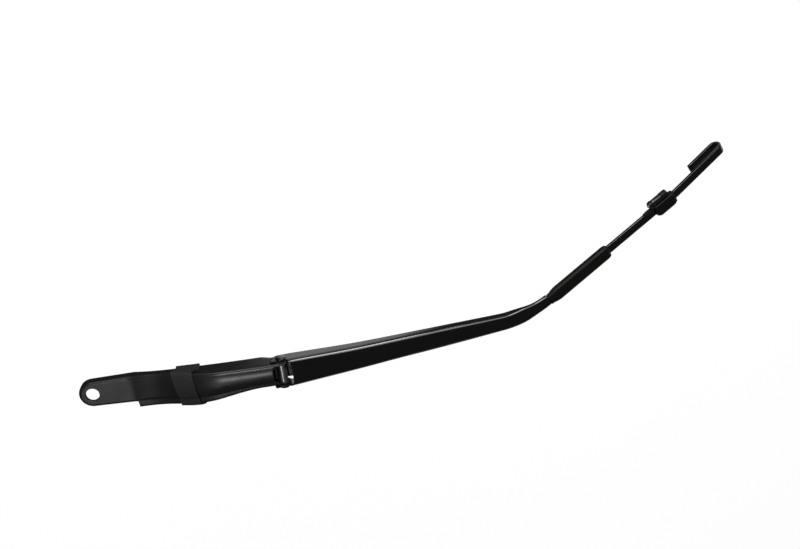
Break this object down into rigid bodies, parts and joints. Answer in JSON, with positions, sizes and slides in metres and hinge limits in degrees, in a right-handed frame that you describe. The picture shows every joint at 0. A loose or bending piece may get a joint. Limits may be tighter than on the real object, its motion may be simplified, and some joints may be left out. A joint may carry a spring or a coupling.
{
  "type": "wiper arm",
  "caption": "Windscreen wiper arm with a spindle eye, a spring-loaded hinge, a pressed channel, a bent flat rod, a washer jet and a J-hook for the blade.",
  "frame": {"origin": "centre of the spindle bore, in the upper face of the head plate", "axes": "+Z along the spindle away from the glass, +X from the bore towards the hinge, +Y towards the side the rod bends to"},
  "size_m": [0.6487, 0.1584, 0.0932],
  "materials": {
    "black_steel": "satin",
    "gloss_black_steel": "gloss",
    "clip_plastic": "matt, fine grain",
    "sleeve_plastic": "matt, fine grain",
    "jet_plastic": "semi-gloss",
    "washer_plastic": "matt",
    "zinc_steel": "zinc plated",
    "spring_steel": "oiled",
    "brass": "turned"
  },
  "bodies": {
    "head": {"mounting_head": "black_steel", "head_clip": "clip_plastic", "spring_pin": "zinc_steel", "hinge_bush": "zinc_steel", "hinge_washer_left": "washer_plastic", "hinge_washer_right": "washer_plastic"},
    "arm": {"arm_channel": "gloss_black_steel", "hinge_rivet": "zinc_steel", "tension_spring": "spring_steel", "hook_rod": "gloss_black_steel", "rod_sleeve": "sleeve_plastic", "jet_holder": "sleeve_plastic", "jet_body": "jet_plastic", "jet_cap": "sleeve_plastic"},
    "jet": {"jet_ball": "brass"}
  },
  "joints": [
    {"name": "arm_lift", "type": "hinge", "parent": "head", "child": "arm", "pos_m": [0.178, 0, 0.015], "axis": [0, -1, 0], "range_deg": [0, 65], "deforming": ["tension_spring"]},
    {"name": "jet_aim", "type": "hinge", "parent": "arm", "child": "jet", "pos_m": [0.54915, 0.09022, -0.03404], "axis": [-0.4288, 0.8742, 0.2277], "range_deg": [-8, 8]}
  ]
}
